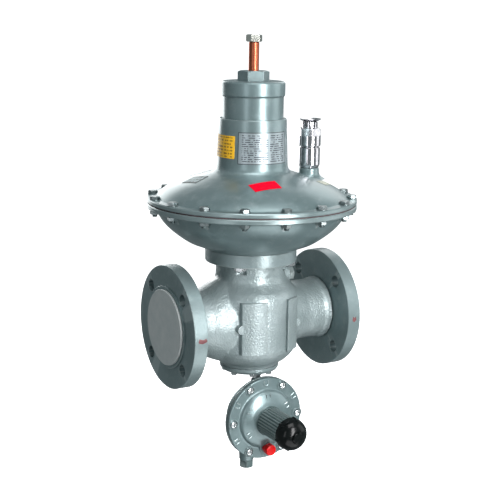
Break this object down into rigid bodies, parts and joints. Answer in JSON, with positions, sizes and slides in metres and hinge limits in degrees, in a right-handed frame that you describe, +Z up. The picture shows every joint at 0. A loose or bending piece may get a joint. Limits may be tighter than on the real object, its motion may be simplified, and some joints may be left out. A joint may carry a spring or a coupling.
{
  "type": "pressure reducing valve",
  "caption": "Flanged globe-body gas pressure reducing valve with spring-loaded diaphragm actuator, adjusting cap, relief vent and a slam-shut trip unit under the body.",
  "frame": {"origin": "centre of the inlet flange's bolt circle, on its bolting face (the raised face stands 2 mm further out, at -X)", "axes": "+X along the pipe from inlet to outlet, +Z up along the actuator's stem, -Y the front, where the trip unit's cap is"},
  "size_m": [0.3268, 0.3268, 0.681],
  "materials": {
    "paint_cast": "grey-green metallic paint on casting",
    "paint_smooth": "smooth grey-green metallic paint",
    "zinc": "zinc plated",
    "stainless": "machined stainless",
    "spring_steel": "oiled spring wire",
    "bronze": "machined bronze",
    "copper": "copper coloured rod",
    "brass": "bright hexagon",
    "chrome": "bright nickel plate",
    "rubber": "black nitrile rubber",
    "black_plastic": "black moulded plastic",
    "black_hex": "black plug",
    "red_plastic": "red plastic",
    "cover_board": "pale transit disc"
  },
  "bodies": {
    "casing": {"valve_body": "paint_cast", "seat_ring": "stainless", "seat_ring_seal": "rubber", "bottom_cover": "paint_smooth", "bottom_cover_seal": "rubber", "bottom_cover_screws": "zinc", "lower_casing": "paint_smooth", "casing_seal": "rubber", "casing_studs": "zinc", "casing_nuts": "zinc", "upper_casing": "paint_smooth", "rim_bolts": "zinc", "rim_nuts": "zinc", "stem_guide_bush": "bronze", "stem_guide_seal": "rubber", "diaphragm": "rubber", "main_spring": "spring_steel", "vent_body": "chrome", "vent_collar": "chrome", "vent_crown": "chrome", "vent_spring": "spring_steel", "vent_guide": "chrome", "sense_port_plug": "black_hex", "slam_guide_bush": "bronze", "slam_spring": "spring_steel", "trip_link_seal": "rubber", "trip_nipple": "zinc", "trip_rear_casing": "paint_smooth", "trip_diaphragm": "rubber", "trip_front_cover": "paint_smooth", "trip_cover_screws": "zinc", "trip_spring_plate": "zinc", "trip_spring_housing": "paint_smooth", "trip_spring": "spring_steel", "trip_adjuster": "bronze", "trip_port_fitting": "zinc"},
    "stem_assembly": {"stem": "stainless", "regulator_plug": "stainless", "plug_pad": "rubber", "plug_nut": "zinc", "diaphragm_plate_lower": "zinc", "diaphragm_plate_upper": "zinc", "lower_spring_seat": "zinc", "diaphragm_nut": "zinc", "indicator_rod": "copper", "rod_nut": "brass"},
    "spring_head": {"upper_spring_seat": "zinc", "thrust_ring": "stainless"},
    "adjuster": {"adjusting_sleeve": "paint_smooth", "adjusting_cap": "paint_smooth", "top_bush": "paint_smooth"},
    "shut_off_cup": {"slam_cup": "stainless", "slam_cup_seal": "rubber", "slam_guide_pin": "stainless", "trip_link": "stainless"},
    "reset_cap": {"trip_reset_rod": "stainless", "trip_cap": "black_plastic"},
    "trip_push_button": {"trip_button": "red_plastic"},
    "vent_valve": {"vent_disc": "chrome"},
    "inlet_cover": {"inlet_transit_cover": "cover_board"}
  },
  "joints": [
    {"name": "stem_travel", "type": "slide", "parent": "casing", "child": "stem_assembly", "axis": [0, 0, 1], "range_m": [0, 0.015], "deforming": ["diaphragm", "main_spring"]},
    {"name": "adjuster_advance", "type": "slide", "parent": "casing", "child": "spring_head", "axis": [0, 0, 1], "range_m": [-0.0265, 0.0045]},
    {"name": "adjuster_turn", "type": "hinge", "parent": "spring_head", "child": "adjuster", "pos_m": [0.147, 0, 0.34], "axis": [0, 0, 1], "range_deg": [-4320, 720]},
    {"name": "slam_shut_travel", "type": "slide", "parent": "casing", "child": "shut_off_cup", "axis": [0, 0, 1], "range_m": [0, 0.023], "deforming": ["slam_spring"]},
    {"name": "reset_cap_pull", "type": "slide", "parent": "casing", "child": "reset_cap", "axis": [0, -1, 0], "range_m": [0, 0.015], "stiffness_N_per_m": 300},
    {"name": "trip_button_press", "type": "slide", "parent": "casing", "child": "trip_push_button", "axis": [0, 1, 0], "range_m": [0, 0.004], "stiffness_N_per_m": 600},
    {"name": "vent_disc_lift", "type": "slide", "parent": "casing", "child": "vent_valve", "axis": [0, 0, 1], "range_m": [0, 0.003], "stiffness_N_per_m": 500, "deforming": ["vent_spring"]},
    {"name": "inlet_cover_lift", "type": "slide", "parent": "casing", "child": "inlet_cover", "axis": [-1, 0, 0], "range_m": [0, 0.04]}
  ],
  "couplings": [
    {"joint": "adjuster_advance", "follows": "adjuster_turn", "m_per_rad": 0.00033}
  ]
}
